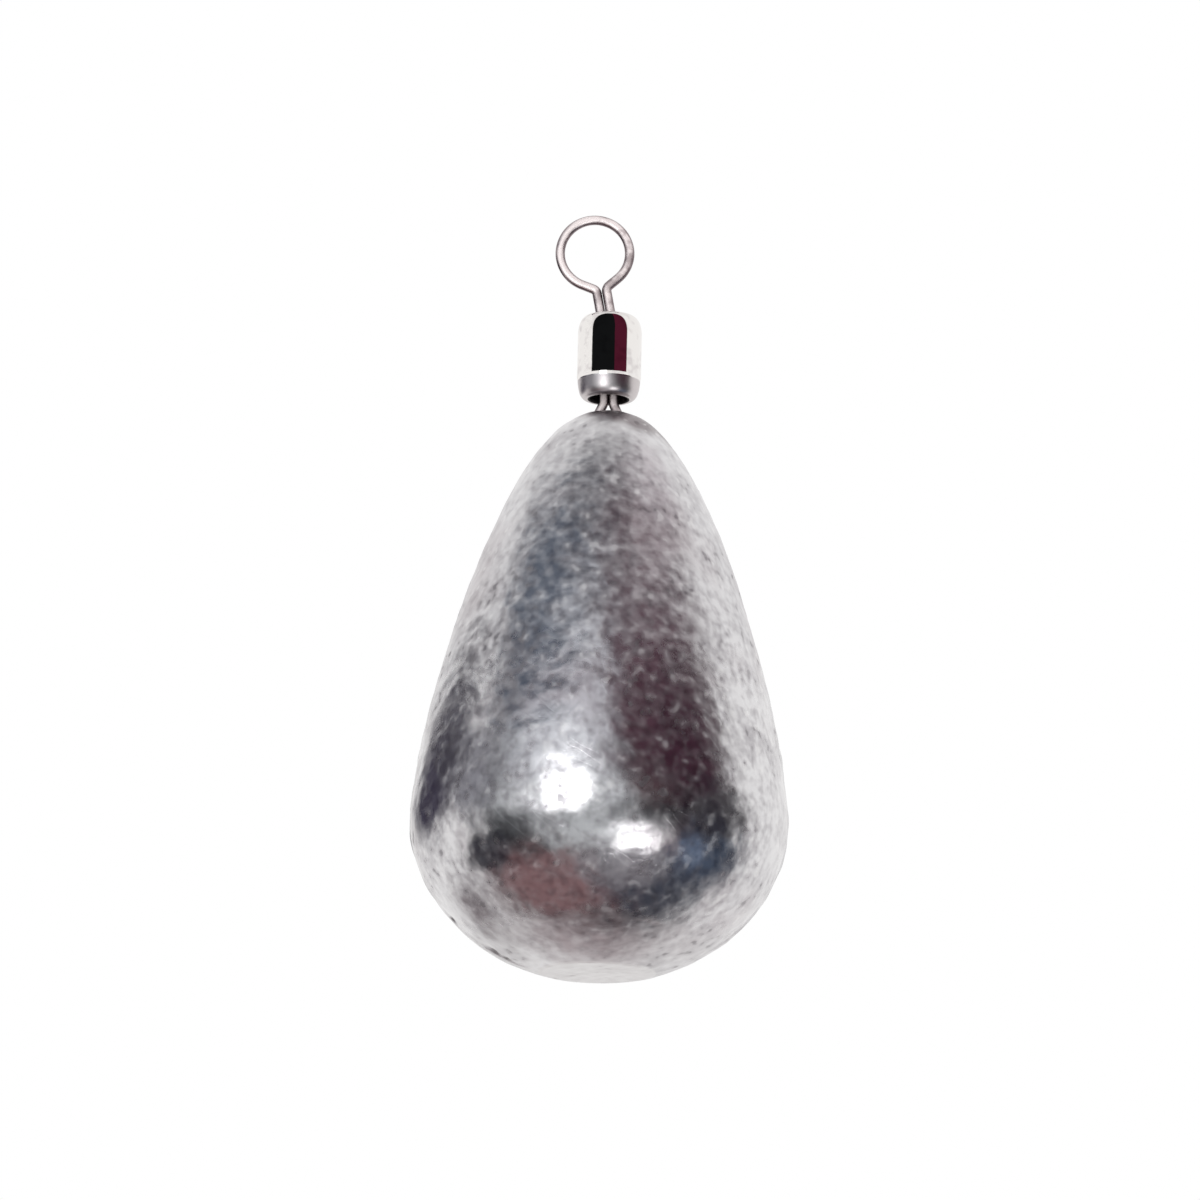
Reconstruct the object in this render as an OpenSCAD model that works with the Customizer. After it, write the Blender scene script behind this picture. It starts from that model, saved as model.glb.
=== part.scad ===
// Pear-shaped lead fishing sinker with a barrel swivel cast into its narrow end.
// Millimetres, +Z up along the swivel, origin at the centre of the sprue flat that the lead stands on.

/* [Lead weight] */
// Greatest diameter of the lead
lead_d = 17.4; // [15:0.1:22]
// Depth of the round bottom below the widest ring, before the sprue is cut off
bottom_h = 7.4; // [6.5:0.1:9]
// Height of the tapered top above the widest ring
taper_h = 19.4; // [17:0.1:23]
// Diameter of the flat left where the casting sprue was cut off
sprue_flat_d = 5.3; // [4:0.1:7]
// Diameter of the level land around the wires at the top
land_d = 1.2; // [1.1:0.1:2]
// Width of the raised seam where the two halves of the mould met
seam_w = 0.3; // [0.2:0.05:0.6]
// How far the seam stands proud of the lead
seam_h = 0.05; // [0.03:0.01:0.12]

/* [Swivel barrel] */
// Outer diameter of the barrel
barrel_d = 3; // [2.7:0.1:3.4]
// Length of the barrel from mouth to mouth
barrel_len = 4; // [3.8:0.1:5]
// Wall thickness of the barrel
barrel_wall = 0.3; // [0.2:0.05:0.35]
// Diameter of the mouth at each end
mouth_d = 1.8; // [1.7:0.05:1.9]
// Width of the level lip round each mouth
lip_w = 0.15; // [0.05:0.01:0.2]
// Height of the rounded, swaged end outside
swage_h = 0.9; // [0.8:0.05:1.2]
// Thickness of the swaged end at its mouth
mouth_h = 0.3; // [0.2:0.05:0.4]
// Height of the sloping seat inside each end
seat_h = 0.45; // [0.3:0.05:0.6]
// Gap between the lead and the lower end of the barrel
barrel_gap = 0.65; // [0.45:0.05:1]

/* [Swivel wire] */
// Diameter of the wire
wire_d = 0.45; // [0.4:0.01:0.5]
// Gap between the two strands of a neck
strand_gap = 0.02; // [0.01:0.01:0.1]
// Length of the head inside the barrel, from its widest ring to its end
head_len = 0.5; // [0.4:0.05:0.6]
// Gap all round between a head and the barrel, which lets the eye hang over
head_gap = 0.15; // [0.12:0.01:0.18]
// End play of a head behind its seat
head_play = 0.2; // [0.15:0.05:0.3]

/* [Line eye] */
// Outer diameter of the loop that the line is tied to
loop_d = 3.7; // [3.3:0.1:4.2]
// Distance from the head's widest ring to the centre of the loop
loop_reach = 4.1; // [3.9:0.05:4.6]
// How far the eye hangs over to one side in the barrel
eye_tilt = 11; // [0:1:14]
// Slope of both arms, from the loop down into the neck
arm_angle = 31; // [26:1:40]
// Radius of the bend from each arm into the neck, at the wire's centre
bend_r = 0.3; // [0.25:0.05:0.5]

/* [Cast-in eye] */
// Outer diameter of the loop inside the lead
root_loop_d = 3.4; // [3:0.1:4]
// Slope of both arms of the loop inside the lead
root_arm_angle = 64; // [58:1:68]
// Length of straight neck between the barrel and the arms
root_neck = 0.1; // [0.05:0.05:0.3]
// Radius of the bend from each arm into the neck, at the wire's centre
root_bend_r = 0.5; // [0.4:0.05:0.7]

/* [Hidden] */
$fn = 64;
// Number of steps along each curved outline and wire
bottom_steps = 20;
taper_steps = 36;
swage_steps = 10;
bend_steps = 6;
loop_steps = 40;
// Number of sides of a wire
wire_sides = 16;
// How far the taper's curve is pulled straight up from the widest ring, as a share of its height
side_pull_share = 0.2;
// How far the curve is pulled level from the land, as a share of the lead's radius
shoulder_pull_share = 0.475;
// Pulls on the swaged end's curve, as shares of its width and of its height
swage_out_share = 0.7;
swage_up_share = 0.05;
swage_side_share = 0.5;
// How far the head's straight rim reaches, as a share of the head's length
rim_share = 0.3;

lead_r = lead_d / 2;
wide_z = bottom_h * sqrt(1 - pow(sprue_flat_d / lead_d, 2));
lead_top = wide_z + taper_h;
barrel_z = lead_top + barrel_gap;
barrel_r = barrel_d / 2;
bore_r = barrel_r - barrel_wall;
mouth_r = mouth_d / 2;
wire_r = wire_d / 2;
strand_x = wire_r + strand_gap / 2;
head_r = bore_r - head_gap;
head_depth = mouth_h + seat_h + head_play;

// Point at share t of a cubic curve that leaves p0 towards p1 and reaches p3 from p2
function curve(p0, p1, p2, p3, t) =
    pow(1 - t, 3) * p0 + 3 * pow(1 - t, 2) * t * p1 + 3 * (1 - t) * t * t * p2 + pow(t, 3) * p3;

// Right half of the lead's outline, from the flat up to the land, grown outwards by g
function lead_side(g) =
    let(
        r = lead_r + g,
        depth = bottom_h + g,
        top = lead_top + g,
        land = [land_d / 2, top],
        wide = [r, wide_z],
        cut_angle = asin(wide_z / depth),
        side_pull = [0, side_pull_share * (taper_h + g)],
        land_pull = [shoulder_pull_share * r, 0]
    )
    concat(
        [
            for (i = [0 : bottom_steps - 1])
                let(a = cut_angle * (i / bottom_steps - 1))
                [r * cos(a), wide_z + depth * sin(a)]
        ],
        [
            for (i = [0 : taper_steps])
                curve(wide, wide + side_pull, land + land_pull, land, i / taper_steps)
        ]
    );

// Outside of the barrel's lower end, from the lip to the straight side
swage_side = [
    for (i = [0 : swage_steps])
        let(
            lip = [mouth_r + lip_w, 0],
            side = [barrel_r, swage_h],
            out = swage_out_share * (barrel_r - mouth_r - lip_w)
        )
        curve(
            lip,
            lip + [out, swage_up_share * swage_h],
            side - [0, swage_side_share * swage_h],
            side,
            i / swage_steps
        )
];

// The same points seen from the other end of something h long
function flipped(points, h) = [for (i = [len(points) - 1 : -1 : 0]) [points[i][0], h - points[i][1]]];

// Drop from the centre of a loop to the point where its strands start to run side by side
function drop(loop_r, slope, bend) =
    loop_r * cos(slope) + (loop_r * sin(slope) - strand_x) * tan(slope) + bend * tan((90 - slope) / 2);

// Centreline of an eye, each point [x, z] with the head's widest ring at z = 0: up one strand, round its
// bend, round the loop, whose centre is at z = reach, and down the other side
function eye_path(loop_r, reach, slope, bend) =
    let(
        bend_z = reach - drop(loop_r, slope, bend),
        side = concat(
            [[strand_x, 0]],
            [
                for (i = [0 : bend_steps])
                    let(a = 180 - (90 - slope) * i / bend_steps)
                    [strand_x + bend, bend_z] + bend * [cos(a), sin(a)]
            ]
        ),
        sweep = 360 - 2 * slope
    )
    concat(
        side,
        [
            for (i = [0 : loop_steps])
                let(a = slope - 90 + sweep * i / loop_steps)
                [0, reach] + loop_r * [cos(a), sin(a)]
        ],
        [for (i = [len(side) - 1 : -1 : 0]) [-side[i][0], side[i][1]]]
    );

// Round wire along a centreline in the XZ plane, whose two ends are level
module bent_wire(path) {
    last = len(path) - 1;
    sides = wire_sides;
    rings = [
        for (k = [0 : last])
            let(
                along = k == 0 || k == last ? [0, 1] : path[k + 1] - path[k - 1],
                turn = k == last ? -1 : 1,
                out = turn * [along[1], -along[0]] / norm(along)
            )
            for (j = [0 : sides - 1])
                let(a = 360 * j / sides)
                [path[k][0] + wire_r * cos(a) * out[0], wire_r * sin(a), path[k][1] + wire_r * cos(a) * out[1]]
    ];
    walls = [
        for (k = [0 : last - 1], j = [0 : sides - 1])
            let(
                here = k * sides + j,
                beside = k * sides + (j + 1) % sides
            )
            each [
                [here, here + sides, beside + sides],
                [here, beside + sides, beside]
            ]
    ];
    polyhedron(
        points = rings,
        faces = concat(
            [[for (j = [0 : sides - 1]) j]],
            walls,
            [[for (j = [sides - 1 : -1 : 0]) last * sides + j]]
        )
    );
}

// Head that keeps an eye in the barrel, wider than its mouth, with its widest ring at z = 0
module head() {
    neck_r = mouth_r - head_gap;
    rotate_extrude()
        polygon([
            [0, seat_h],
            [neck_r, seat_h],
            [head_r, 0],
            [head_r, -rim_share * head_len],
            [neck_r, -head_len],
            [0, -head_len]
        ]);
}

module eye(loop_d, reach, slope, bend) {
    head();
    bent_wire(eye_path(loop_d / 2 - wire_r, reach, slope, bend));
}

module upper_eye() {
    color([0.74, 0.71, 0.71])
        translate([0, 0, barrel_z + barrel_len - head_depth])
            rotate([0, -eye_tilt, 0])
                eye(loop_d, loop_reach, arm_angle, bend_r);
}

module lower_eye_shape() {
    reach = head_depth + root_neck + drop(root_loop_d / 2 - wire_r, root_arm_angle, root_bend_r);
    translate([0, 0, barrel_z + head_depth])
        mirror([0, 0, 1])
            eye(root_loop_d, reach, root_arm_angle, root_bend_r);
}

module lower_eye() {
    color([0.7, 0.67, 0.67])
        lower_eye_shape();
}

module swivel_barrel() {
    inner_end = [
        [mouth_r, 0],
        [mouth_r, mouth_h],
        [bore_r, mouth_h + seat_h]
    ];
    color([0.8, 0.79, 0.78])
        translate([0, 0, barrel_z])
            rotate_extrude()
                polygon(concat(
                    swage_side,
                    flipped(swage_side, barrel_len),
                    [for (p = inner_end) [p[0], barrel_len - p[1]]],
                    [for (i = [2 : -1 : 0]) inner_end[i]]
                ));
}

module lead_weight() {
    side = lead_side(0);
    seam = lead_side(seam_h);
    color([0.55, 0.55, 0.58])
        difference() {
            union() {
                rotate_extrude()
                    polygon(concat([[0, 0]], side, [[0, lead_top]]));
                translate([0, seam_w / 2, 0])
                    rotate([90, 0, 0])
                        linear_extrude(seam_w)
                            polygon(concat(seam, [for (i = [len(seam) - 1 : -1 : 0]) [-seam[i][0], seam[i][1]]]));
            }
            lower_eye_shape();
        }
}

lead_weight();
lower_eye();
swivel_barrel();
upper_eye();
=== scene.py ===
"""Looks of a pear-shaped lead fishing sinker, cast round one eye of a nickel-plated barrel swivel.

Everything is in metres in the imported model's frame: +Z runs up the swivel's axis, the lead stands on its
sprue flat at z = 0, and both eyes and the mould's parting seam lie in the XZ plane.
"""

import logging
import math
from dataclasses import dataclass, field
from enum import Enum
from typing import Any, Sequence

import bpy
import numpy as np
from mathutils import Matrix, Vector


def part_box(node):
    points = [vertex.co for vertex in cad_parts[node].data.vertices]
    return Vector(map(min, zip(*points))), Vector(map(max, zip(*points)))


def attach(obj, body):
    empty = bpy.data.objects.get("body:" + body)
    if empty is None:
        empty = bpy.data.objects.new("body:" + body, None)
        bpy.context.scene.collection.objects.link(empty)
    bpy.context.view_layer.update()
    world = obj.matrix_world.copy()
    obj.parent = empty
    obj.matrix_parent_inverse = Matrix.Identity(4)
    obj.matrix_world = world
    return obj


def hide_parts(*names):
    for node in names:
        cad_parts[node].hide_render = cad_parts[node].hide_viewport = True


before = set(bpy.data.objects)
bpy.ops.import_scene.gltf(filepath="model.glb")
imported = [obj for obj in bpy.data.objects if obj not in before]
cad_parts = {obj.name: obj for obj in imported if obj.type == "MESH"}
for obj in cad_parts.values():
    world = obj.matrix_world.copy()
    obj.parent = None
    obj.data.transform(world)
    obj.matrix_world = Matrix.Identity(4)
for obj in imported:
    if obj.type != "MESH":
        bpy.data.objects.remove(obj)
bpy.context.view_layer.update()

LOG = logging.getLogger("sinker")
MM = 0.001

Colour = tuple[float, float, float]
Span = tuple[float, float]
Array = np.ndarray

WHITE: Colour = (1.0, 1.0, 1.0)
X_AXIS = (1.0, 0.0, 0.0)
Y_AXIS = (0.0, 1.0, 0.0)
Z_AXIS = (0.0, 0.0, 1.0)
SQUARE = np.array([[-1, -1], [1, -1], [1, 1], [-1, 1]], float)
SQUARE_FACE = np.array([[0, 1, 2, 3]])


class Body(Enum):
    """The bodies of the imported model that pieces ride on."""

    WEIGHT = "weight"
    BARREL = "barrel"
    EYE = "eye"


class Slot(Enum):
    """The record's material slots."""

    LEAD = "cast_lead"
    WIRE = "nickel_wire"
    BARREL = "nickel_barrel"


# Shader maths


class Value:
    """One output in a shader tree, which adds its Math nodes as Python expressions are worked out."""

    def __init__(self, shader: "Shader", socket: bpy.types.NodeSocket) -> None:
        """Keeps the tree and the output's socket."""
        self.shader = shader
        self.socket = socket

    def _math(self, operation: str, *terms: Any) -> "Value":
        """Adds one Math node.

        Args:
            operation: The node's operation.
            terms: Its inputs in order, numbers or values.

        Returns:
            The node's result.
        """
        settings = {"operation": operation}
        return self.shader.node("ShaderNodeMath", settings, dict(enumerate(terms)))

    def __add__(self, other: Any) -> "Value":
        """Sum."""
        return self._math("ADD", self, other)

    def __sub__(self, other: Any) -> "Value":
        """Difference."""
        return self._math("SUBTRACT", self, other)

    def __rsub__(self, other: Any) -> "Value":
        """Difference, with the value second."""
        return self._math("SUBTRACT", other, self)

    def __mul__(self, other: Any) -> "Value":
        """Product."""
        return self._math("MULTIPLY", self, other)

    def larger(self, other: Any) -> "Value":
        """The larger of two."""
        return self._math("MAXIMUM", self, other)

    __radd__ = __add__
    __rmul__ = __mul__

    def cosine(self) -> "Value":
        """Cosine, of radians."""
        return self._math("COSINE", self)

    def size(self) -> "Value":
        """Absolute value."""
        return self._math("ABSOLUTE", self)

    def swing(self, by: Any) -> "Value":
        """How far noise is from its middle value, scaled."""
        return (self - 0.5) * by

    def along(self, way: Sequence[float]) -> "Value":
        """Dot product of a vector with a direction."""
        return self.shader.vector("DOT_PRODUCT", self, tuple(way))

    def step(self, low: float, high: float) -> "Value":
        """Smooth step, 0 up to low and 1 from high on; low may be the larger of the two.

        Args:
            low: Where the step starts.
            high: Where it is full.

        Returns:
            The step, from 0 to 1.
        """
        settings = {"interpolation_type": "SMOOTHSTEP", "clamp": True}
        inputs = {"Value": self, "From Min": low, "From Max": high}
        return self.shader.node("ShaderNodeMapRange", settings, inputs)


class Shader:
    """A node tree being written, for a material or for the world."""

    def __init__(self, owner: bpy.types.Material | bpy.types.World) -> None:
        """Empties the owner's node tree.

        Args:
            owner: The material or the world.
        """
        owner.use_nodes = True
        self.tree = owner.node_tree
        self.tree.nodes.clear()

    def node(self, kind: str, settings: dict[str, Any], inputs: dict[Any, Any], out: Any = 0) -> Value:
        """Adds any node: its settings first, then its sockets.

        Args:
            kind: The node's type.
            settings: Attributes to set, such as a Math node's operation.
            inputs: Socket name, identifier or index to a value or a constant.
            out: Name, identifier or index of the output to return.

        Returns:
            The chosen output.
        """
        made = self.tree.nodes.new(kind)
        for key, setting in settings.items():
            setattr(made, key, setting)
        for key, given in inputs.items():
            socket = self._find(made.inputs, key)
            if isinstance(given, Value):
                self.tree.links.new(given.socket, socket)
            elif isinstance(given, tuple) and len(given) == 3 and socket.type == "RGBA":
                socket.default_value = (*given, 1.0)
            else:
                socket.default_value = given
        return Value(self, self._find(made.outputs, out)) if len(made.outputs) else Value(self, None)

    @staticmethod
    def _find(sockets: Any, key: Any) -> bpy.types.NodeSocket:
        """Finds one of a node's sockets.

        Args:
            sockets: The node's inputs or outputs.
            key: The socket's index, identifier or name.

        Returns:
            The socket of that index, or the first that has that identifier or is enabled and has that name.
        """
        if isinstance(key, int):
            return sockets[key]
        return next(s for s in sockets if s.identifier == key or (s.name == key and s.enabled))

    def read(self, kind: str, out: Any = 0) -> Value:
        """Adds a node that has nothing to set."""
        return self.node(kind, {}, {}, out)

    def show(self, surface: Value, owner: str = "Material") -> None:
        """Joins a material's surface or the world's background to the output."""
        self.node(f"ShaderNodeOutput{owner}", {}, {"Surface": surface})

    def object_mm(self) -> Value:
        """Object coordinates in millimetres."""
        return self.vector("SCALE", self.read("ShaderNodeTexCoord", "Object"), scale=1 / MM)

    def vector(self, operation: str, first: Any, second: Any = None, scale: float | None = None) -> Value:
        """Adds one Vector Math node.

        Args:
            operation: The node's operation.
            first: Its first vector.
            second: Its second vector, if it has one.
            scale: Its scale, for the SCALE operation.

        Returns:
            The result, a number for DOT_PRODUCT, LENGTH and DISTANCE and a vector otherwise.
        """
        inputs: dict[Any, Any] = {0: first}
        if second is not None:
            inputs[1] = second
        if scale is not None:
            inputs["Scale"] = scale
        out = "Value" if operation in ("DOT_PRODUCT", "LENGTH", "DISTANCE") else "Vector"
        return self.node("ShaderNodeVectorMath", {"operation": operation}, inputs, out)

    def mix(self, share: Any, first: Any, second: Any) -> Value:
        """Blend of two colours, the second at share 1."""
        inputs = {"Factor_Float": share, "A_Color": first, "B_Color": second}
        return self.node("ShaderNodeMix", {"data_type": "RGBA"}, inputs, "Result_Color")

    def layered(self, colour: Any, layers: Sequence[tuple[Any, Any]]) -> Any:
        """Lays colours over one another.

        Args:
            colour: The colour under them all.
            layers: Pairs of how much a colour hides of what is under it, and that colour, in order.

        Returns:
            The colour on top.
        """
        for share, layer in layers:
            colour = self.mix(share, colour, layer)
        return colour

    def blend(self, share: Any, first: Value, second: Value) -> Value:
        """Blend of two surfaces, the second at share 1."""
        return self.node("ShaderNodeMixShader", {}, {0: share, 1: first, 2: second})

    def noise(self, place: Value, per_mm: float, detail: float = 2.0, rough: float = 0.5) -> Value:
        """Noise round 0.5 with about per_mm blotches to the millimetre."""
        inputs = {"Vector": place, "Scale": per_mm, "Detail": detail, "Roughness": rough}
        return self.node("ShaderNodeTexNoise", {}, inputs, "Fac")


@dataclass(frozen=True)
class MetalSurface:
    """What varies over a metal, ready for the shader's own sockets."""

    colour: Value
    roughness: Value
    metallic: Value | float
    height: Value
    relief: float

    def write(self, shader: Shader) -> None:
        """Joins the surface to a Principled shader and an output.

        Args:
            shader: The material's tree.
        """
        bump = {"Height": self.height, "Distance": self.relief, "Strength": 1.0}
        normal = shader.node("ShaderNodeBump", {}, bump)
        inputs = {
            "Base Color": self.colour,
            "Roughness": self.roughness,
            "Metallic": self.metallic,
            "Normal": normal,
        }
        shader.show(shader.node("ShaderNodeBsdfPrincipled", {}, inputs))


@dataclass(frozen=True)
class CastLead:
    """Bare cast lead: a bright skin with crystal grain, frosted where the mould was cooler, and a cut face.

    A span is where a mask starts and where it is full; those of heights and distances are in millimetres.
    per_mm values are blotches to the millimetre, and an over value is how much a colour hides of what is
    under it. The rest are weights, of which frost_cooler, say, is what cooler metal adds to the frost.
    """

    skin: Colour = (0.74, 0.735, 0.75)
    tarnish: Colour = (0.47, 0.455, 0.475)
    stain: Colour = (0.40, 0.34, 0.36)
    collar_shade: Colour = (0.17, 0.135, 0.145)
    pit: Colour = (0.07, 0.06, 0.07)
    speck: Colour = (0.88, 0.87, 0.87)
    cut: Colour = (0.86, 0.855, 0.855)
    stain_over: float = 0.4
    collar_shade_over: float = 0.75
    pit_over: float = 0.3
    dirt_over: float = 0.8
    speck_over: float = 0.4
    rubbed_over: float = 0.25
    cut_over: float = 0.8
    mottle_per_mm: float = 1.9
    tarnish_per_mm: float = 2.3
    patch_per_mm: float = 0.55
    cloud_per_mm: float = 0.17
    scratch_per_mm: float = 1.7
    rim_span: Span = (2.6, 0.7)
    taper_span: Span = (9.0, 18.0)
    rubbed_span: Span = (2.2, 0.5)
    calm_span: Span = (5.0, 1.5)
    cut_span: Span = (0.08, 0.04)
    collar_span: Span = (25.0, 26.0)
    pit_span: Span = (0.60, 0.74)
    pitted_span: Span = (0.46, 0.62)
    speck_span: Span = (0.60, 0.76)
    stain_span: Span = (0.5, 0.72)
    dirt_span: Span = (0.3, 0.6)
    scratch_span: Span = (0.012, 0.002)
    dark_base: float = 0.42
    dark_tarnish: float = 1.9
    dark_patch: float = 1.4
    frost_base: float = 0.025
    frost_cooler: float = 0.06
    frost_uneven: float = 0.28
    frost_uneven_cooler: float = 0.3
    uneven_mottle: float = 0.8
    uneven_patch: float = 0.35
    rough_base: float = 0.22
    rough_cooler: float = 0.08
    rough_frost: float = 0.4
    rough_pit: float = 0.15
    rough_cut: float = 0.1
    dull_speck: float = 0.1
    relief_mottle: float = 1.2
    relief_tarnish: float = 0.6
    relief_base: float = 0.2
    relief_cooler: float = 0.24
    relief_scratch: float = 0.02
    calm_grain: float = 0.6
    calm_cut: float = 0.7
    collar_lean: float = 0.3
    collar_ragged: float = 2.4
    scratch_turn: float = 0.9
    scratch_stretch: tuple[float, float, float] = (1.0, 1.0, 0.12)
    dirty_depth: float = 0.07 * MM
    relief: float = 0.05 * MM

    def material(self, dents: Sequence["Dent"]) -> bpy.types.Material:
        """Builds the material.

        Args:
            dents: The nicks in the lead, which hold some dirt.

        Returns:
            The finished material.
        """
        made = bpy.data.materials.new("cast_lead")
        shader = Shader(made)
        place = shader.object_mm()
        height = place.along(Z_AXIS)
        mottle = shader.noise(place, self.mottle_per_mm, 1.0, 0.4)
        tarnish = shader.noise(place, self.tarnish_per_mm, 1.0, 0.45)
        patch = shader.noise(place, self.patch_per_mm)
        cloud = shader.noise(place, self.cloud_per_mm)
        grain = 1 - place.along(Y_AXIS).size().step(*self.calm_span) * self.calm_grain
        cooler = height.step(*self.taper_span).larger(height.step(*self.rim_span))
        cut = height.step(*self.cut_span)
        pits = tarnish.step(*self.pit_span) * patch.step(*self.pitted_span)
        specks = mottle.step(*self.speck_span)
        dirt = self._dirt(shader, place, dents) * mottle.step(*self.dirt_span)
        # Painted shade: the collar is a ragged dark band painted round the lead's top under the barrel,
        # reaching lower towards +X, standing in for the barrel's shade and its dark reflection in the dome.
        leaning = place.along((self.collar_lean, 0.0, 1.0))
        collar = (leaning + patch.swing(self.collar_ragged)).step(*self.collar_span)
        uneven = mottle.swing(self.uneven_mottle) + patch.swing(self.uneven_patch)
        spread = self.frost_uneven + cooler * self.frost_uneven_cooler
        frost = (self.frost_base + cooler * self.frost_cooler + uneven * spread).larger(0.0)
        dark = self.dark_base + tarnish.swing(grain * self.dark_tarnish) + patch.swing(self.dark_patch)
        layers = (
            (dark.step(0.0, 1.0), self.tarnish),
            (cloud.step(*self.stain_span) * self.stain_over, self.stain),
            # painted shade round the lead's top, under the barrel
            (collar * self.collar_shade_over, self.collar_shade),
            (pits * self.pit_over, self.pit),
            (dirt * self.dirt_over, self.pit),
            (specks * self.speck_over, self.speck),
            (height.step(*self.rubbed_span) * self.rubbed_over, self.cut),
            (cut * self.cut_over, self.cut),
        )
        rough = self.rough_base + cooler * self.rough_cooler + frost * self.rough_frost
        rough = rough + pits * self.rough_pit + cut * self.rough_cut
        metallic = 1 - (frost + specks * self.dull_speck) * (1 - cut)
        raised = mottle.swing(self.relief_mottle) - tarnish.swing(self.relief_tarnish)
        raised = raised * grain * (self.relief_base + cooler * self.relief_cooler)
        raised = (raised - self._scratches(shader, place) * self.relief_scratch) * (1 - cut * self.calm_cut)
        colour = shader.layered(self.skin, layers)
        MetalSurface(colour, rough, metallic, raised, self.relief).write(shader)
        return made

    def _dirt(self, shader: Shader, place: Value, dents: Sequence["Dent"]) -> Any:
        """Round spots in the deeper dents.

        Args:
            shader: The lead's tree.
            place: Object coordinates in millimetres.
            dents: All the dents.

        Returns:
            1 in the middle of a spot, falling to 0 with the distance from its centre.
        """
        held: Any = 0.0
        for dent in dents:
            if dent.depth > self.dirty_depth:
                away = shader.vector("DISTANCE", place, tuple(np.array(dent.at) / MM))
                held = away.step(dent.radius / MM, dent.radius / MM / 3).larger(held)
        return held

    def _scratches(self, shader: Shader, place: Value) -> Value:
        """Thin lines, where noise that is drawn out along a slant crosses its middle value.

        Args:
            shader: The lead's tree.
            place: Object coordinates in millimetres.

        Returns:
            1 on a line, 0 elsewhere.
        """
        turned = {"Vector": place, "Angle": self.scratch_turn}
        slant = shader.node("ShaderNodeVectorRotate", {"rotation_type": "Y_AXIS"}, turned)
        drawn = shader.node("ShaderNodeMapping", {}, {"Vector": slant, "Scale": self.scratch_stretch})
        line = shader.noise(drawn, self.scratch_per_mm, 1.0)
        return (line - 0.5).size().step(*self.scratch_span)


@dataclass(frozen=True)
class NickelPlate:
    """Bright nickel plate with faint tool lines round or along the piece and a few dull specks.

    A wire's UV map runs along it in u and round it in v, in metres. worn is the share of the plate that has
    gone satin, and the flank colour is painted shade on a wire's two sides in the plane of its loop, standing
    in for the dark surroundings that its edges mirror. swaged is the height of a barrel's middle and how far
    from it the duller lower end begins. bore_from is the distance along a barrel's outline from which it is
    painted dark inside, painted shade in the bore. The side shade is how much duller it is painted towards each
    side, painted shade on the side that the light reaches less. The other values are named as the lead's are.
    """

    name: str
    plate: Colour
    dull: Colour
    stretch: tuple[float, float, float]
    rough_base: float = 0.0
    worn: float = 0.0
    flank_shade: Colour | None = None
    swaged: Span | None = None
    bore_from: float | None = None
    ends: Colour = (0.60, 0.56, 0.565)
    bore_shade: Colour = (0.035, 0.03, 0.032)
    painted_side_shade: tuple[float, float, float] = (0.0, 0.0, 0.0)
    relief: float = 0.003 * MM
    speck_per_mm: float = 3.2
    smear_per_mm: float = 1.2
    dull_speck: float = 0.35
    dull_smear: float = 0.65
    dull_span: Span = (0.46, 0.68)
    dull_over: float = 0.8
    flank_span: Span = (0.08, 0.75)
    flank_ragged: float = 0.4
    end_over: float = 0.9
    end_edge: float = 0.06
    bore_edge: float = 0.1 * MM
    rough_dull: float = 0.15
    rough_line: float = 0.0625
    rough_end: float = 0.34
    rough_bore: float = 0.3

    def material(self) -> bpy.types.Material:
        """Builds the material.

        Returns:
            The finished material.
        """
        made = bpy.data.materials.new(self.name)
        shader = Shader(made)
        place = shader.object_mm()
        run = shader.read("ShaderNodeTexCoord", "UV")
        drawn = shader.node("ShaderNodeMapping", {}, {"Vector": run, "Scale": self.stretch})
        lines = shader.noise(drawn, 1.0, 4.0, 0.6)
        speck = shader.noise(place, self.speck_per_mm, 1.0)
        smear = shader.noise(place, self.smear_per_mm)
        # Dull specks and smears at random, plus painted shade: the dull colour spreads further towards one
        # side, darker where the light falls less.
        dull = speck * self.dull_speck + smear * self.dull_smear + place.along(self.painted_side_shade)
        dull = dull.step(*self.dull_span)
        layers: list[tuple[Value, Colour]] = [(dull * self.dull_over, self.dull)]
        rough = self.rough_base + (dull * self.rough_dull + lines * self.rough_line) * self.worn
        metallic: Value | float = 1.0 - self.worn
        if self.flank_shade is not None:
            # Painted shade: the wire's two sides in the plane of its loop are painted dark, standing in for the
            # dark surroundings that its edges mirror.
            across = run.along((0.0, 2 / WireEye.wire, 0.0)).cosine()
            side = (across * across + smear.swing(self.flank_ragged)).step(*self.flank_span)
            layers.append((side, self.flank_shade))
            metallic = metallic + side * self.worn
        if self.swaged is not None:
            middle, reach = self.swaged
            start = (middle - reach) / MM
            end = place.along(Z_AXIS).step(start, start - self.end_edge)
            layers.append((end * self.end_over, self.ends))
            rough = rough + end * self.rough_end
        if self.bore_from is not None:
            # Painted shade: the inside of the barrel is painted near black, where the bore lies in shade.
            inside = run.along(Y_AXIS).step(self.bore_from, self.bore_from + self.bore_edge)
            layers.append((inside, self.bore_shade))
            rough = rough + inside * self.rough_bore
        raised = lines.swing(0.5) + speck.swing(0.5)
        colour = shader.layered(self.plate, layers)
        MetalSurface(colour, rough, metallic, raised, self.relief).write(shader)
        return made


# Shapes


def bezier(points: Sequence[Sequence[float]], count: int) -> Array:
    """Cubic curve through its first and last points, pulled towards the middle two.

    Each point is weighted by (1-t)^3, 3(1-t)^2 t, 3(1-t) t^2 and t^3 as t runs from 0 to 1.

    Args:
        points: Four points of two coordinates.
        count: Number of points along the curve.

    Returns:
        The points, as count by 2.
    """
    t = np.linspace(0.0, 1.0, count)[:, None]
    p = np.asarray(points, float)
    return (1 - t) ** 3 * p[0] + 3 * (1 - t) ** 2 * t * p[1] + 3 * (1 - t) * t**2 * p[2] + t**3 * p[3]


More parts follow.
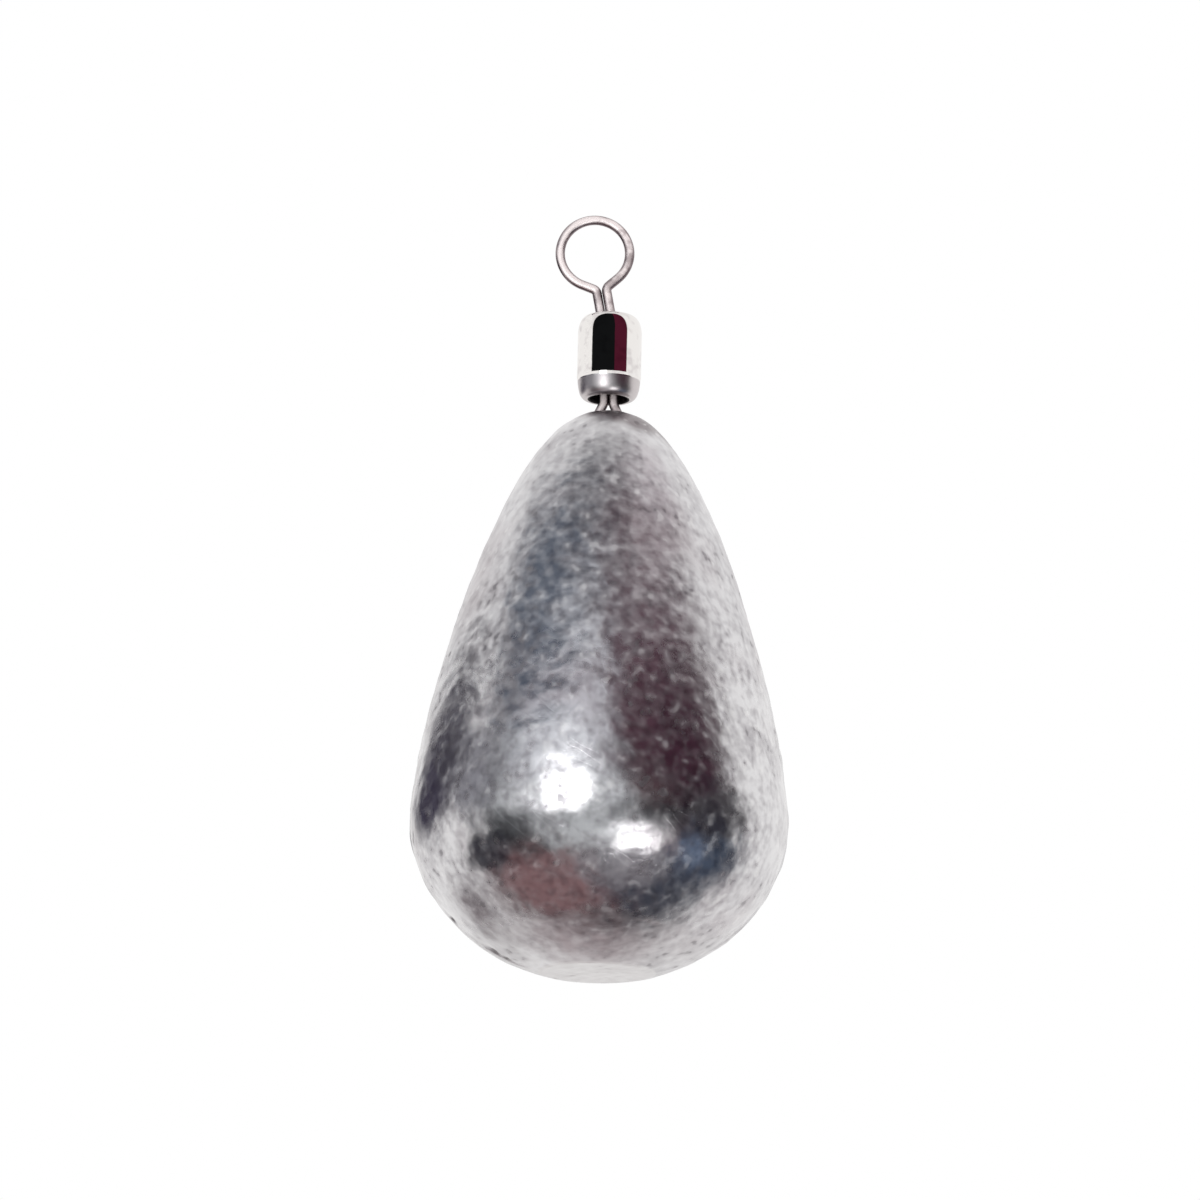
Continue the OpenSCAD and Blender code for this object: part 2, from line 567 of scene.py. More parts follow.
def even(line: Array, count: int) -> Array:
    """Spaces points evenly along a polyline, by its length so far.

    Args:
        line: The polyline's points.
        count: Number of points wanted.

    Returns:
        The new points, first and last as before.
    """
    steps = np.linalg.norm(np.diff(line, axis=0), axis=1)
    run = np.concatenate([[0.0], np.cumsum(steps)])
    at = np.linspace(0.0, run[-1], count)
    return np.stack([np.interp(at, run, line[:, k]) for k in range(line.shape[1])], axis=1)


@dataclass(frozen=True)
class Waves:
    """Smooth bumps: a sum of sine waves whose directions, lengths and phases are drawn from a fixed seed.

    Lengths are in metres. The sum is scaled to a spread of about 1.
    """

    seed: int
    shortest: float
    longest: float
    count: int = 28

    def __call__(self, points: Array) -> Array:
        """Height of the bumps at each point: the mean of sin(k.p + phase) over the waves, scaled.

        Args:
            points: Points, with their coordinates last.

        Returns:
            One height for each point.
        """
        draw = np.random.default_rng(self.seed)
        way = draw.normal(size=(self.count, 3))
        way /= np.linalg.norm(way, axis=1)[:, None]
        length = np.exp(draw.uniform(math.log(self.shortest), math.log(self.longest), self.count))
        phase = draw.uniform(0.0, 2 * math.pi, self.count)
        swing = points @ (way * (2 * math.pi / length)[:, None]).T + phase
        return np.sin(swing).sum(axis=-1) / math.sqrt(self.count / 2)


def linked(name: str, data: Any) -> bpy.types.Object:
    """Makes an object and links it to the scene.

    Args:
        name: The object's name.
        data: Its mesh, lamp or camera.

    Returns:
        The object.
    """
    made = bpy.data.objects.new(name, data)
    bpy.context.scene.collection.objects.link(made)
    return made


def make_object(name: str, points: Array, faces: list[Array], uv: Array | None = None) -> bpy.types.Object:
    """Puts arrays into a smooth-shaded mesh object at the origin.

    Args:
        name: The object's name.
        points: Vertices, as count by 3.
        faces: Arrays of vertex indices, each array with faces of one size.
        uv: One pair for each vertex, if the piece has a UV map.

    Returns:
        The object, linked to the scene.
    """
    listed = [tuple(face) for block in faces for face in block.tolist()]
    mesh = bpy.data.meshes.new(name)
    mesh.from_pydata(points.tolist(), [], listed)
    mesh.polygons.foreach_set("use_smooth", np.ones(len(mesh.polygons), bool))
    if uv is not None:
        corner = np.zeros(len(mesh.loops), np.int32)
        mesh.loops.foreach_get("vertex_index", corner)
        mesh.uv_layers.new(name="run").data.foreach_set("uv", uv[corner].astype(np.float32).ravel())
    mesh.validate()
    mesh.update()
    return linked(name, mesh)


def grid_faces(rows: int, columns: int) -> Array:
    """Quads between the rows of a grid that closes on itself along each row.

    Args:
        rows: Number of rows, which run anticlockwise as seen from the last one.
        columns: Points in a row.

    Returns:
        The quads, facing out.
    """
    row, column = np.meshgrid(np.arange(rows - 1), np.arange(columns), indexing="ij")
    here = row * columns + column
    beside = row * columns + (column + 1) % columns
    return np.stack([here, beside, beside + columns, here + columns], axis=-1).reshape(-1, 4)


def capped_faces(rows: int, columns: int) -> list[Array]:
    """The same quads, with each end row closed by triangles to a pole.

    Args:
        rows: Number of rows.
        columns: Points in a row. The first row's pole comes after all of them, and then the last row's.

    Returns:
        The quads and both rings of triangles.
    """
    here = np.arange(columns)
    beside = (here + 1) % columns
    last = (rows - 1) * columns
    foot = np.stack([beside, here, np.full(columns, rows * columns)], axis=-1)
    head = np.stack([last + here, last + beside, np.full(columns, rows * columns + 1)], axis=-1)
    return [grid_faces(rows, columns), foot, head]


@dataclass
class Turned:
    """A profile turned about Z, closed on the axis at both ends or on itself as a ring.

    The profile is [radius, height], running up the outside.
    """

    profile: Array
    angles: Array
    ring: bool = False

    def points(self) -> Array:
        """Turns the profile: (radius sin a, -radius cos a, height) for each of its points and each angle a.

        Returns:
            A grid with a row for each point of the profile.
        """
        radius, height = self.profile[:, :1], self.profile[:, 1:]
        x = radius * np.sin(self.angles)
        y = -radius * np.cos(self.angles)
        return np.stack([x, y, np.broadcast_to(height, x.shape)], axis=-1)

    def normals(self) -> Array:
        """Turns the profile's tangent by a quarter turn and carries it round with its point.

        Returns:
            Unit vectors that point outwards, on the same grid.
        """
        along = np.gradient(self.profile, axis=0)
        along /= np.linalg.norm(along, axis=1)[:, None]
        out, up = along[:, 1:], -along[:, :1]
        x = out * np.sin(self.angles)
        y = -out * np.cos(self.angles)
        return np.stack([x, y, np.broadcast_to(up, x.shape)], axis=-1)

    def uv(self) -> Array:
        """Measures the surface: round the piece in u and along its profile in v, in metres.

        Returns:
            One pair for each point of the grid.
        """
        reach = self.profile[:, 0].max()
        u = np.broadcast_to(self.angles * reach, (len(self.profile), len(self.angles)))
        run = np.concatenate([[0.0], np.cumsum(np.linalg.norm(np.diff(self.profile, axis=0), axis=1))])
        v = np.broadcast_to(run[:, None], u.shape)
        return np.stack([u, v], axis=-1).reshape(-1, 2)

    def build(self, name: str, points: Array) -> bpy.types.Object:
        """Makes the object from a grid of points, which may have been moved.

        Args:
            name: The object's name.
            points: The grid.

        Returns:
            The object.
        """
        rows, columns = points.shape[:2]
        flat = points.reshape(-1, 3)
        if self.ring:
            first = np.arange(columns)
            last = first + (rows - 1) * columns
            closing = np.stack([last, np.roll(last, -1), np.roll(first, -1), first], axis=-1)
            return make_object(name, flat, [grid_faces(rows, columns), closing], self.uv())
        flat = np.vstack([flat, points[0].mean(axis=0), points[-1].mean(axis=0)])
        uv = np.vstack([self.uv(), self.uv()[[0, -1]]])
        return make_object(name, flat, capped_faces(rows, columns), uv)


@dataclass(frozen=True)
class Dent:
    """A nick in the lead: where it is, how wide and how deep, all in metres."""

    at: tuple[float, float, float]
    radius: float
    depth: float


@dataclass
class LeadCasting:
    """The lead, from its sprue flat to the land round the wires.

    Lengths are in metres. side_pull is a share of the taper's height, shoulder_pull of the lead's radius, and
    swelling, graining and highest are shares of the swell, the ripple and the seam's height. Pitches are in
    radians to the millimetre.
    """

    bottom_depth: float = 7.4 * MM
    flat_radius: float = 2.65 * MM
    land_radius: float = 0.6 * MM
    pole_radius: float = 0.03 * MM
    side_pull: float = 0.2
    shoulder_pull: float = 0.475
    seam_height: float = 0.05 * MM
    seam_width: float = 0.1 * MM
    seam_faint: float = 0.05
    seam_middle: float = 0.55
    seam_broken: float = 0.45
    seam_waves: Waves = Waves(13, 0.8 * MM, 3.0 * MM)
    swell: float = 0.035 * MM
    swelling: float = 0.4
    swell_waves: Waves = Waves(11, 4.5 * MM, 11.0 * MM)
    ripple: float = 0.007 * MM
    ripple_waves: Waves = Waves(12, 0.9 * MM, 2.4 * MM, 40)
    graining: float = 0.35
    grain_waves: Waves = Waves(15, 0.55 * MM, 0.9 * MM, 40)
    dent_steepness: float = 1.5
    highest: float = 0.98
    mark_height: float = 0.012 * MM
    mark_way: tuple[float, float] = (0.78, 0.62)
    coarse_pitch: float = 9.0
    fine_pitch: float = 23.0
    mark_wobble: float = 1.4
    mark_waves: Waves = Waves(14, 1.2 * MM, 4.0 * MM)
    mark_fade: float = 3.0
    bowl_points: int = 400
    taper_points: int = 900
    rows: int = 236
    flat_rows: int = 22
    columns: int = 372
    seam_crowding: float = 0.3
    dents: tuple[Dent, ...] = (
        Dent((3.65 * MM, -0.35 * MM, 23.5 * MM), 0.26 * MM, 0.12 * MM),
        Dent((3.95 * MM, -0.10 * MM, 23.0 * MM), 0.20 * MM, 0.09 * MM),
        Dent((-6.55 * MM, -0.25 * MM, 2.3 * MM), 0.30 * MM, 0.10 * MM),
        Dent((-6.9 * MM, -0.15 * MM, 2.75 * MM), 0.22 * MM, 0.08 * MM),
        Dent((-4.7 * MM, -0.30 * MM, 0.85 * MM), 0.45 * MM, 0.10 * MM),
        Dent((-4.1 * MM, -0.20 * MM, 0.62 * MM), 0.30 * MM, 0.08 * MM),
        Dent((4.2 * MM, -7.3 * MM, 8.4 * MM), 0.25 * MM, 0.04 * MM),
        Dent((-1.66 * MM, -8.4 * MM, 5.3 * MM), 0.30 * MM, 0.05 * MM),
        Dent((2.6 * MM, -5.6 * MM, 14.6 * MM), 0.22 * MM, 0.03 * MM),
        Dent((-3.2 * MM, 6.9 * MM, 10.2 * MM), 0.40 * MM, 0.04 * MM),
        Dent((4.6 * MM, 5.4 * MM, 13.0 * MM), 0.30 * MM, 0.03 * MM),
    )
    radius: float = field(init=False)
    top: float = field(init=False)

    def __post_init__(self) -> None:
        """Takes the lead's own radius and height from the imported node, which the seam widens only along X."""
        low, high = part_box("lead_weight")
        self.radius = (high.y - low.y) / 2
        self.top = high.z - self.seam_height

    @property
    def wide_height(self) -> float:
        """Height of the widest ring: the ellipse's depth where it is as wide as the sprue flat."""
        return self.bottom_depth * math.sqrt(1 - (self.flat_radius / self.radius) ** 2)

    def profile(self) -> Array:
        """Outline from the axis at the bottom to the axis at the top.

        A level flat, then a quarter ellipse cut off by it, then one cubic curve that leaves the widest ring
        straight up and reaches the land level.

        Returns:
            Points of [radius, height].
        """
        wide = self.wide_height
        cut = math.asin(wide / self.bottom_depth)
        turn = np.linspace(-cut, 0.0, self.bowl_points)
        bowl = np.stack([self.radius * np.cos(turn), wide + self.bottom_depth * np.sin(turn)], axis=1)
        taper = bezier(
            [
                (self.radius, wide),
                (self.radius, wide + self.side_pull * (self.top - wide)),
                (self.land_radius + self.shoulder_pull * self.radius, self.top),
                (self.land_radius, self.top),
            ],
            self.taper_points,
        )
        land = np.array([[self.pole_radius, self.top]])
        side = even(np.vstack([bowl, taper[1:], land]), self.rows - self.flat_rows)
        flat = np.linspace([self.pole_radius, 0.0], [self.flat_radius, 0.0], self.flat_rows + 1)[:-1]
        return np.vstack([flat, side])

    def angles(self) -> Array:
        """Angles of the columns, crowded towards the two seams at a quarter turn either side."""
        even_turn = np.linspace(-math.pi, math.pi, self.columns, endpoint=False)
        return even_turn + self.seam_crowding * np.sin(2 * even_turn)

    def relief(self, points: Array) -> Array:
        """How far each point stands out from the plain turned shape.

        Swells and ripples are wave sums; the seam is a bell curve across y = 0, broken up along its length;
        each dent is a bell curve about its centre.

        Args:
            points: The plain shape's points.

        Returns:
            One distance for each point, never above the seam's height.
        """
        swell = self.swell_waves(points) * self.swell * self.swelling
        ripple = self.ripple_waves(points) * self.ripple
        grain = self.grain_waves(points) * self.ripple * self.graining
        broken = self.seam_middle + self.seam_broken * self.seam_waves(points)
        seam = np.clip(broken, self.seam_faint, 1.0) * np.exp(-((points[..., 1] / self.seam_width) ** 2))
        out = swell + ripple + grain - self.swell
        out = out + self.seam_height * seam
        for dent in self.dents:
            away = np.linalg.norm(points - np.array(dent.at), axis=-1)
            out = out - dent.depth * np.exp(-((away / dent.radius) ** 2) * self.dent_steepness)
        return np.minimum(out, self.seam_height * self.highest)

    def shear_marks(self, points: Array) -> Array:
        """Works out the cutter's marks on the sprue flat.

        They are two sines along a slant, one coarse and one fine, whose phase wobbles, and they fade at the
        flat's rim.

        Args:
            points: The flat's points.

        Returns:
            One height for each point.
        """
        slant = points[..., :2] @ np.array(self.mark_way) / MM
        wobble = self.mark_waves(points)
        coarse = np.sin(slant * self.coarse_pitch + wobble * self.mark_wobble) / 2
        fine = np.sin(slant * self.fine_pitch + wobble) / 4
        reach = np.linalg.norm(points[..., :2], axis=-1) / self.flat_radius
        return self.mark_height * (1 + coarse + fine) * np.clip(self.mark_fade * (1 - reach), 0.0, 1.0)

    def build(self, finish: CastLead) -> bpy.types.Object:
        """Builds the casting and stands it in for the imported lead.

        Args:
            finish: The lead's finish.

        Returns:
            The piece.
        """
        turned = Turned(self.profile(), self.angles())
        points = turned.points()
        moved = points + turned.normals() * self.relief(points)[..., None]
        flat = slice(0, self.flat_rows)
        moved[flat] = points[flat]
        moved[flat, :, 2] += self.shear_marks(points[flat])
        moved[..., 2] = np.maximum(moved[..., 2], 0.0)
        piece = turned.build("lead_casting", moved)
        piece.data.materials.append(finish.material(self.dents))
        return settle(piece, Body.WEIGHT, "lead_weight")


@dataclass
class SwivelBarrel:
    """The tube that traps both heads, swaged in at its ends.

    Lengths are in metres, heights from the barrel's lower end. swage_out is a share of the swaged end's
    width, swage_up and swage_side of its height, and past_step of the step's. Above the step the straight
    side has rows from lower_from to lower_to over the swaged end, and then from upper_from under the top.
    ripple_inset counts in ripples.
    """

    wall: float = 0.3 * MM
    mouth_radius: float = 0.9 * MM
    lip: float = 0.15 * MM
    swage_height: float = 0.9 * MM
    mouth_height: float = 0.3 * MM
    seat_height: float = 0.45 * MM
    swage_out: float = 0.7
    swage_up: float = 0.05
    swage_side: float = 0.5
    head_play: float = 0.2 * MM
    step_depth: float = 0.028 * MM
    step_height: float = 0.13 * MM
    past_step: float = 1.4
    lower_from: float = 0.25 * MM
    lower_to: float = 1.0 * MM
    upper_from: float = 1.44 * MM
    bevel: float = 0.03 * MM
    ripple: float = 0.0012 * MM
    ripple_waves: Waves = Waves(21, 0.8 * MM, 3.0 * MM)
    ripple_inset: float = 2.2
    swage_rows: int = 34
    step_rows: int = 15
    lower_rows: int = 10
    upper_rows: int = 8
    mouth_rows: int = 5
    columns: int = 168

    def __post_init__(self) -> None:
        """Takes the barrel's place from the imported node."""
        self.low, self.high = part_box("swivel_barrel")
        self.radius = (self.high.y - self.low.y) / 2
        self.length = self.high.z - self.low.z

    def swaged_end(self, inset: float) -> Array:
        """Outside of the barrel's lower end: a cubic curve from the lip up to the straight side.

        It ends in the slope of the small step above it.

        Args:
            inset: How far in from the straight side the curve ends.

        Returns:
            Points of [radius, height].
        """
        lip = self.mouth_radius + self.lip
        out = self.swage_out * (self.radius - lip)
        corner = self.radius - inset
        pull = self.swage_side * self.swage_height
        return bezier(
            [
                (lip, 0.0),
                (lip + out, self.swage_up * self.swage_height),
                (corner - pull * inset / self.step_height / 2, self.swage_height - pull),
                (corner, self.swage_height),
            ],
            self.swage_rows,
        )

    def outside(self) -> Array:
        """Outline of the outside: the lower end, its step, the straight side and the upper end turned over.

        Returns:
            Points of [radius, height], from the lower lip to the upper one.
        """
        lower_end = self.swaged_end(self.step_depth)
        upper_end = self.swaged_end(0.0)[::-1] * [1, -1] + [0, self.length]
        step = np.linspace(0.0, self.past_step * self.step_height, self.step_rows)
        rise = np.concatenate([step, np.linspace(self.lower_from, self.lower_to, self.lower_rows)])
        inset = self.step_depth * np.clip(1 - rise / self.step_height, 0.0, 1.0)
        lower_side = np.stack([self.radius - inset, self.swage_height + rise], axis=1)
        height = np.linspace(self.length - self.upper_from, upper_end[0, 1], self.upper_rows)
        upper_side = np.stack([np.full(self.upper_rows, self.radius), height], axis=1)
        return np.vstack([lower_end[:-1], lower_side, upper_side, upper_end[1:]])

    def profile(self) -> Array:
        """Closed outline of the wall: up the outside, over the upper lip and down the inside.

        Returns:
            Points of [radius, height], the last joined back to the first.
        """
        lower = np.array(
            [
                [self.mouth_radius, self.bevel],
                [self.mouth_radius, self.mouth_height],
                [self.radius - self.wall, self.mouth_height + self.seat_height],
            ]
        )
        upper = lower * [1, -1] + [0, self.length]
        upper_mouth = even(upper[:2], self.mouth_rows)
        lower_mouth = even(lower[:2][::-1], self.mouth_rows)
        wall = np.vstack([self.outside(), upper_mouth, upper[2], lower[2], lower_mouth])
        return wall + [0.0, self.low.z]

    def outside_run(self) -> float:
        """Distance along the outline from the lower lip, up the outside, to the upper lip."""
        return float(np.linalg.norm(np.diff(self.outside(), axis=0), axis=1).sum())

    def build(self, finish: NickelPlate) -> bpy.types.Object:
        """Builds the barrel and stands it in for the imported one.

        Args:
            finish: The plate on it.

        Returns:
            The piece.
        """
        angles = np.linspace(-math.pi, math.pi, self.columns, endpoint=False)
        turned = Turned(self.profile(), angles, ring=True)
        points = turned.points()
        offset = (self.ripple_waves(points) - self.ripple_inset) * self.ripple
        points = points + turned.normals() * offset[..., None]
        piece = turned.build("barrel_shell", points)
        piece.data.materials.append(finish.material())
        return settle(piece, Body.BARREL, "swivel_barrel")


@dataclass
class WireEye:
    """A wire eye: a loop, two arms, a neck of two strands and the head that the barrel traps.

    Lengths are in metres and angles in degrees. The eye is drawn upright with its head's widest ring at the
    origin, turned over for the lower end, tilted towards -X and moved to its place. Where the reach from that
    ring to the loop's centre isn't given, it follows from the straight neck outside the barrel. thinned and
    uneven are shares of the wire's radius.
    """

    name: str
    node: str
    body: Body
    up: float
    loop_diameter: float
    slope: float
    bend: float
    reach: float = 0.0
    neck: float = 0.0
    tilt: float = 0.0
    cross: float = 0.0
    wire: float = 0.45 * MM
    strand_gap: float = 0.006 * MM
    head_length: float = 0.5 * MM
    head_gap: float = 0.15 * MM
    rim_share: float = 0.3
    pole_radius: float = 0.02 * MM
    thinned: float = 0.985
    uneven: float = 0.008
    wire_waves: Waves = Waves(31, 0.7 * MM, 2.5 * MM, 8)
    bend_points: int = 24
    loop_points: int = 160
    sides: int = 28
    rings: int = 300
    head_rows: int = 60
    head_columns: int = 72

    def __post_init__(self) -> None:
        """Takes the head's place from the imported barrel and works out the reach."""
        low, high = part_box("swivel_barrel")
        depth = SwivelBarrel.mouth_height + SwivelBarrel.seat_height + SwivelBarrel.head_play
        self.head_height = high.z - depth if self.up > 0 else low.z + depth
        self.head_radius = (high.y - low.y) / 2 - SwivelBarrel.wall - self.head_gap
        self.loop = (self.loop_diameter - self.wire) / 2
        self.foot = (self.wire + self.strand_gap) / 2
        self.reach = self.reach or depth + self.neck + self.drop

    @property
    def drop(self) -> float:
        """Adds up the tangent's, the arm's and the bend's drop from the loop's centre.

        Returns:
            How far above the strands' start, where they run side by side, the loop's centre is.
        """
        turn = math.radians(self.slope)
        arm = (self.loop * math.sin(turn) - self.foot) * math.tan(turn)
        return self.loop * math.cos(turn) + arm + self.bend * math.tan((math.pi / 2 - turn) / 2)

    def centreline(self) -> Array:
        """Centreline of the whole wire from foot to foot, in space.

        Up one strand, round its bend, round the loop between the two tangents at the slope, and down again.
        The strands pass each other by a little in depth, more towards the neck.

        Returns:
            Evenly spaced points of [x, y, z].
        """
        turn = math.radians(self.slope)
        arc = np.linspace(math.pi, math.pi / 2 + turn, self.bend_points)
        bent = np.array([self.foot + self.bend, self.reach - self.drop])
        bent = bent + self.bend * np.stack([np.cos(arc), np.sin(arc)], axis=1)
        strand = np.vstack([[self.foot, 0.0], bent])
        round_loop = np.linspace(turn - math.pi / 2, 3 * math.pi / 2 - turn, self.loop_points)
        ring = self.loop * np.stack([np.cos(round_loop), np.sin(round_loop)], axis=1) + [0.0, self.reach]
        flat = np.vstack([strand, ring, strand[::-1] * [-1, 1]])
        low = np.clip((self.reach - flat[:, 1]) / self.loop, 0.0, 1.0)
        depth = -self.cross * np.sign(flat[:, 0]) * low**2
        return even(np.stack([flat[:, 0], depth, flat[:, 1]], axis=1), self.rings)

    def placed(self, points: Array) -> Array:
        """Moves drawn points to the eye's place.

        Args:
            points: Points with their coordinates last.

        Returns:
            The points, as count by 3, turned over for the lower end, tilted about Y and raised.
        """
        tilt = math.radians(self.tilt)
        x, y, z = (points * [1, 1, self.up]).reshape(-1, 3).T
        tilted = [x * math.cos(tilt) - z * math.sin(tilt), y, z * math.cos(tilt) + x * math.sin(tilt)]
        return np.stack(tilted, axis=1) + [0, 0, self.head_height]

    def build(self, finish: NickelPlate) -> list[bpy.types.Object]:
        """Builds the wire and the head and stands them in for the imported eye.

        The wire is a circle carried along the centreline, square to it, with its radius varied a little.

        Args:
            finish: The plate on both.

        Returns:
            The two pieces.
        """
        line = self.centreline()
        along = np.gradient(line, axis=0)
        along /= np.linalg.norm(along, axis=1)[:, None]
        out = np.cross(along, Y_AXIS)
        out /= np.linalg.norm(out, axis=1)[:, None]
        side = np.cross(along, out)
        turn = np.linspace(0, 2 * math.pi, self.sides, endpoint=False)
        radius = self.wire / 2 * (self.thinned + self.uneven * self.wire_waves(line))
        ring = out[:, None] * np.cos(turn)[:, None] + side[:, None] * np.sin(turn)[:, None]
        tube = line[:, None] + ring * radius[:, None, None]
        run = np.linspace(0, 1, self.rings) * np.linalg.norm(np.diff(line, axis=0), axis=1).sum()
        uv = np.stack(np.broadcast_arrays(run[:, None], turn * self.wire / 2), axis=-1).reshape(-1, 2)
        points = self.placed(np.vstack([tube.reshape(-1, 3), line[[0, -1]]]))
        faces = capped_faces(self.rings, self.sides)
        if self.up < 0:
            faces = [block[:, ::-1] for block in faces]
        wire = make_object(f"{self.name}_wire", points, faces, np.vstack([uv, uv[[0, -1]]]))
        skin = finish.material()
        pieces = [wire, self.head()]
        for piece in pieces:
            piece.data.materials.append(skin)
            settle(piece, self.body, self.node)
        return pieces

    def head(self) -> bpy.types.Object:
        """Turns the head: a cone that meets the barrel's seat, a short straight rim and a blunt plug.

        Returns:
            The piece, in its place.
        """
        neck_radius = SwivelBarrel.mouth_radius - self.head_gap
        corners = np.array(
            [
                [self.pole_radius, -self.head_length],
                [neck_radius, -self.head_length],
                [self.head_radius, -self.rim_share * self.head_length],
                [self.head_radius, 0.0],
                [neck_radius, SwivelBarrel.seat_height],
                [self.pole_radius, SwivelBarrel.seat_height],
            ]
        )
        angles = np.linspace(-math.pi, math.pi, self.head_columns, endpoint=False)
        turned = Turned(even(corners, self.head_rows), angles)
        drawn = turned.points()
        piece = turned.build(f"{self.name}_head", self.placed(drawn).reshape(drawn.shape))
        if self.up < 0:
            piece.data.flip_normals()
        return piece


def settle(piece: bpy.types.Object, body: Body, node: str) -> bpy.types.Object:
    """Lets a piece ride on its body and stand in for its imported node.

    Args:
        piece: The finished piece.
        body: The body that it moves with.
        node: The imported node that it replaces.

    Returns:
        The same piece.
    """
    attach(piece, body.value)
    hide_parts(node)
    return piece


# Camera, floor and light


@dataclass(frozen=True)
class PhotoCamera:
    """The photograph's viewpoint: from a little below the standing sinker, through a long lens.

    Pixel places are in the photograph's frame. lean is how far the top leans to the right in it, and clip how
    near and how far the camera sees, as shares of its distance.
    """

    frame_px: float = 1200.0
    wide_x: float = 599.3
    wide_y: float = 822.0
    lead_px: float = 379.5
    elevation: float = -13.5
    lean: float = 1.255
    lens: float = 200.0
    sensor: float = 36.0
    clip: Span = (0.01, 10.0)

    def place(self, lead: LeadCasting) -> None:
        """Puts the camera where the widest ring's centre falls on its pixel at the photographed size.

        Args:
            lead: The lead, whose width gives the scale.
        """
        tilt, lean = math.radians(self.elevation), math.radians(self.lean)
        back = Vector((0, -math.cos(tilt), math.sin(tilt)))
        rise = Vector((0, math.sin(tilt), math.cos(tilt)))
        right = math.cos(lean) * Vector(X_AXIS) + math.sin(lean) * rise
        up = math.cos(lean) * rise - math.sin(lean) * Vector(X_AXIS)
        pixel = 2 * lead.radius / self.lead_px
        across = (self.frame_px / 2 - self.wide_x) * pixel
        above = (self.wide_y - self.frame_px / 2) * pixel
        target = Vector((0, 0, lead.wide_height)) + across * right + above * up
        distance = self.frame_px * pixel * self.lens / self.sensor
        data = bpy.data.cameras.new("photo_camera")
        data.lens = self.lens
        data.sensor_width = self.sensor
        data.clip_start, data.clip_end = (distance * share for share in self.clip)
        camera = linked("photo_camera", data)
        spot = target + back * distance
        camera.matrix_world = Matrix.Translation(spot) @ Matrix((right, up, back)).transposed().to_4x4()
        bpy.context.scene.camera = camera


def facing(azimuth: float, elevation: float) -> tuple[Vector, Vector, Vector]:
    """Works out how something stands that faces the sinker from a direction.

    Args:
        azimuth: Its azimuth in degrees, 0 on the camera's side and positive to its right.
        elevation: Its elevation in degrees.

    Returns:
        Unit vectors towards it, to its right and up along it.
    """
    a, e = math.radians(azimuth), math.radians(elevation)
    way = Vector((math.sin(a) * math.cos(e), -math.cos(a) * math.cos(e), math.sin(e)))
    right = Vector((-way.y, way.x, 0)).normalized()
    return way, right, way.cross(right)


@dataclass(frozen=True)
class SkyPatch:
    """A soft oval area of the surroundings that the metal mirrors.

    Angles are in degrees; width and height are half sizes, and soft is the share of them that fades. edge is
    the cosine at which it fades out on the far side.
    """

    azimuth: float
    elevation: float
    width: float
    height: float
    colour: Colour
    soft: float = 0.5
    edge: float = 0.1

    def over(self, shader: Shader, way: Value, under: Value) -> Value:
        """Lays the patch over what is there, by how far a direction falls inside its oval.

        Args:
            shader: The world's tree.
            way: The direction looked in.
            under: The colour so far.

        Returns:
            The colour with the patch.
        """
        centre, right, up = facing(self.azimuth, self.elevation)
        across = way.along(right / math.sin(math.radians(self.width)))
        above = way.along(up / math.sin(math.radians(self.height)))
        spread = across * across + above * above
        inside = spread.step(1 + self.soft, 1 - self.soft) * way.along(centre).step(0.0, self.edge)
        return shader.mix(inside, under, self.colour)


@dataclass(frozen=True)
class DarkCorner:
    """What a true mirror sees of the dark room: one upright band, black left of a seam and maroon beyond it.

    Angles are in degrees; the white table and walls are all round it. edge and top_edge are how soft it is.
    """

    white: Colour = (0.98, 0.965, 0.95)
    black: Colour = (0.007, 0.0075, 0.008)
    maroon: Colour = (0.080, 0.010, 0.024)
    left: float = -66.0
    seam: float = 18.0
    right: float = 65.0
    foot: float = -1.0
    top: float = 79.0
    edge: float = 0.016
    top_edge: float = 0.03

    def past(self, way: Value, azimuth: float) -> Value:
        """1 to the right of an azimuth: the sine of the angle from it, times the cosine of the elevation."""
        a = math.radians(azimuth)
        return way.along((math.cos(a), math.sin(a), 0.0)).step(-self.edge, self.edge)

    def colour(self, shader: Shader, way: Value) -> Value:
        """Works out the colour in a direction.

        Args:
            shader: The world's tree.
            way: The direction looked in.

        Returns:
            The colour.
        """
        rise = way.along(Z_AXIS)
        foot, top = math.sin(math.radians(self.foot)), math.sin(math.radians(self.top))
        inside = self.past(way, self.left) * (1 - self.past(way, self.right))
        inside = inside * rise.step(foot - self.edge, foot + self.edge) * rise.step(top + self.top_edge, top)
        dark = shader.mix(self.past(way, self.seam), self.black, self.maroon)
        return shader.mix(inside, self.white, dark)


